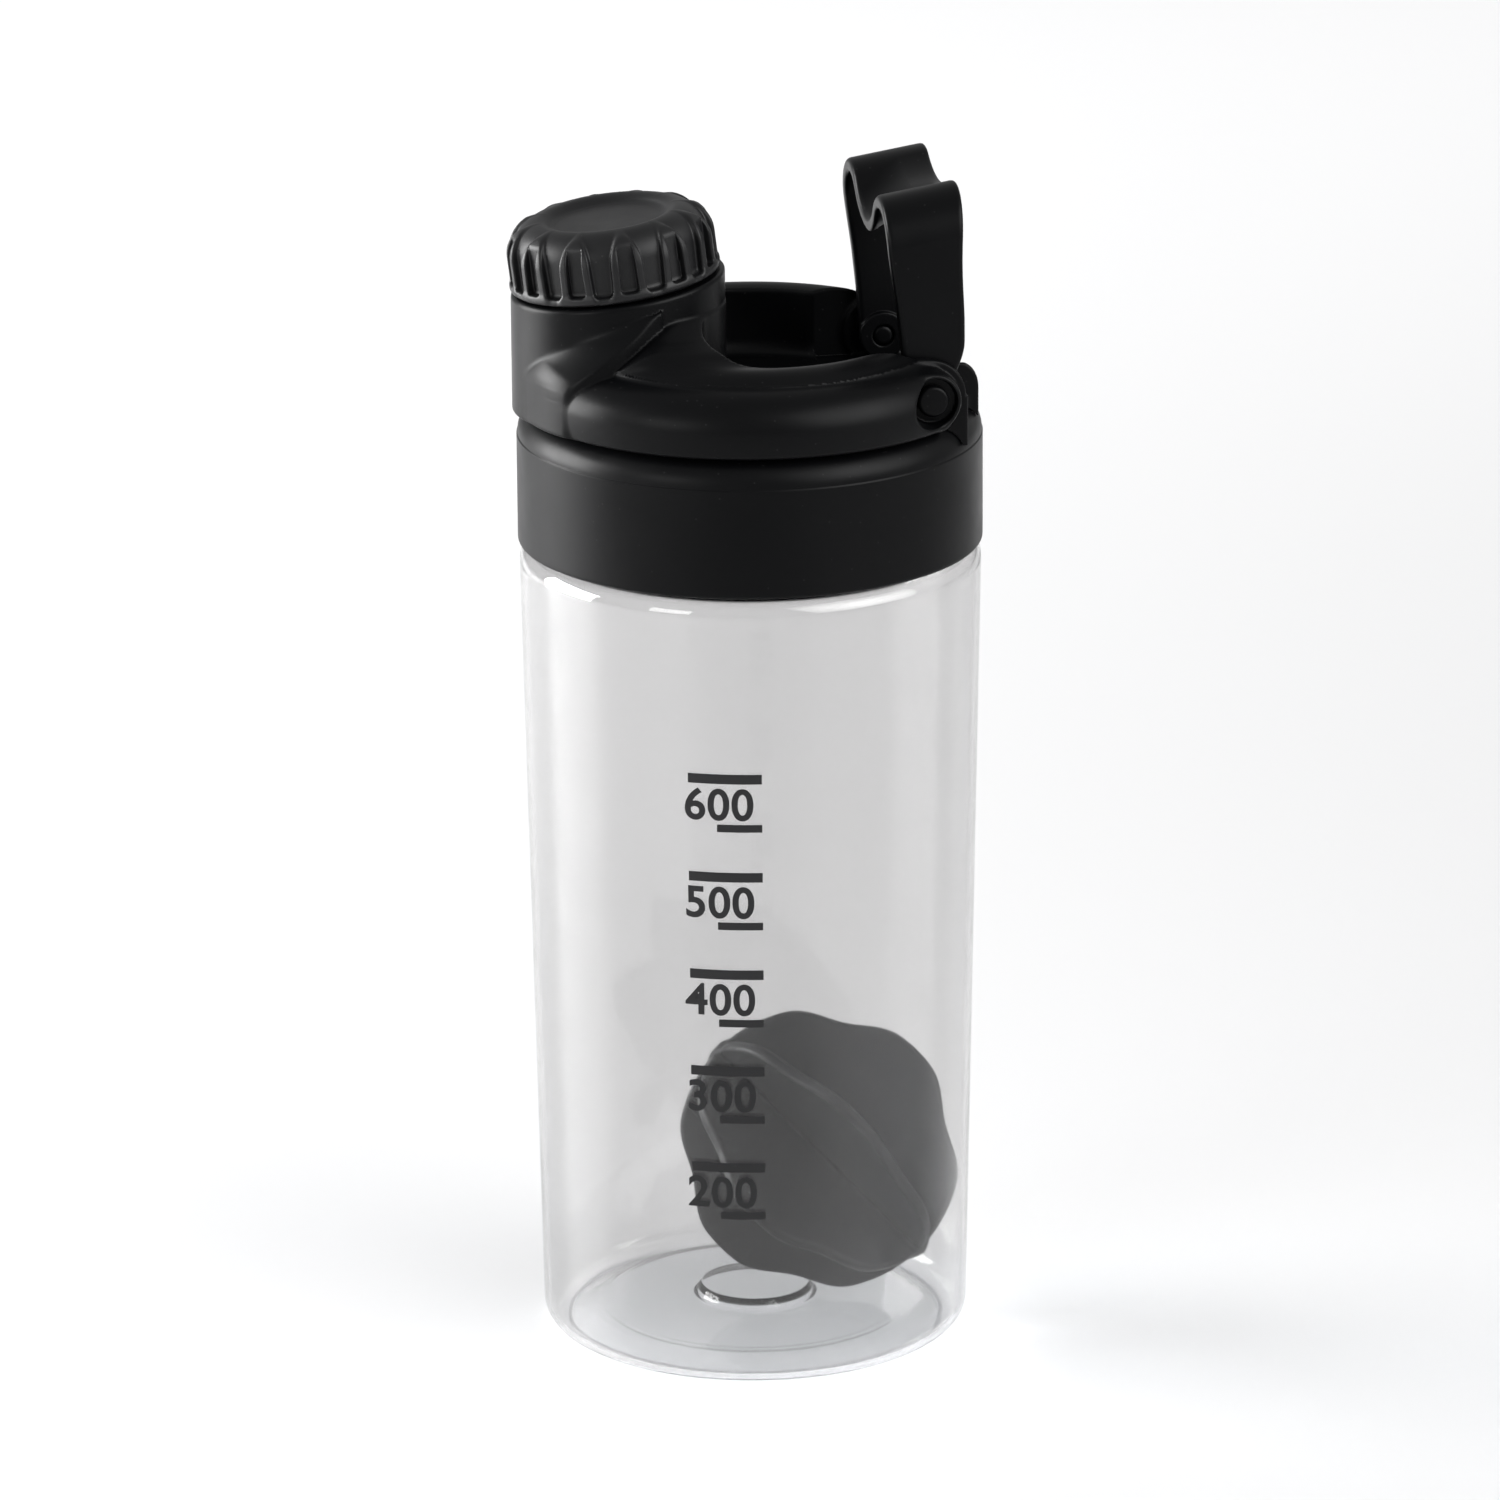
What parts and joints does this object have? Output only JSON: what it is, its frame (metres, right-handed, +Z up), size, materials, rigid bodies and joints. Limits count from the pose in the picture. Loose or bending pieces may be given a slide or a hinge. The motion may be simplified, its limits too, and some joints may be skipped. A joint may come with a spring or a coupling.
{
  "type": "protein shaker bottle",
  "caption": "Clear shaker bottle with a black screw lid, offset screw-capped drinking spout, swinging carry loop and loose mixing ball.",
  "frame": {"origin": "centre of the ring that the bottle stands on, on the bottle's own axis", "axes": "+Z up along the bottle; the drinking spout is towards -X; the carry loop's pivot lies along Y on the +X side"},
  "size_m": [0.0903, 0.0884, 0.2288],
  "materials": {
    "clear_plastic": "clear moulded, polished",
    "black_plastic": "satin moulded",
    "cap_plastic": "fine matte moulded",
    "grey_plastic": "matte moulded",
    "silicone": "matte silicone rubber",
    "print": "screen-printed ink"
  },
  "bodies": {
    "bottle": {"bottle": "clear_plastic"},
    "gasket": {"lid_gasket": "silicone"},
    "lid": {"lid_collar": "black_plastic", "lid_cover": "black_plastic", "spout_seal": "silicone", "drinking_spout": "black_plastic", "left_hinge_pin": "black_plastic", "right_hinge_pin": "black_plastic"},
    "liner": {"cap_liner": "silicone"},
    "cap": {"spout_cap": "cap_plastic"},
    "loop": {"carry_loop": "black_plastic"},
    "ball": {"mixing_ball": "grey_plastic"}
  },
  "joints": [
    {"name": "lid_lift", "type": "slide", "parent": "bottle", "child": "gasket", "axis": [0, 0, 1], "range_m": [0, 0.024]},
    {"name": "lid_turn", "type": "hinge", "parent": "gasket", "child": "lid", "pos_m": [0, 0, 0.184], "axis": [0, 0, 1], "range_deg": [0, 1441]},
    {"name": "cap_lift", "type": "slide", "parent": "lid", "child": "liner", "axis": [-0.1219, 0, 0.9925], "range_m": [0, 0.016]},
    {"name": "cap_turn", "type": "hinge", "parent": "liner", "child": "cap", "pos_m": [-0.0254, 0, 0.2092], "axis": [-0.1219, 0, 0.9925], "range_deg": [0, 1441]},
    {"name": "loop_swing", "type": "hinge", "parent": "lid", "child": "loop", "pos_m": [0.0298, 0, 0.19], "axis": [0, 1, 0], "range_deg": [-82, 25]},
    {"name": "ball_travel", "type": "slide", "parent": "bottle", "child": "ball", "axis": [0, 0, 1], "range_m": [0, 0.11]}
  ],
  "couplings": [
    {"joint": "lid_turn", "follows": "lid_lift", "rad_per_m": 1047.2},
    {"joint": "cap_turn", "follows": "cap_lift", "rad_per_m": 1570.8}
  ]
}
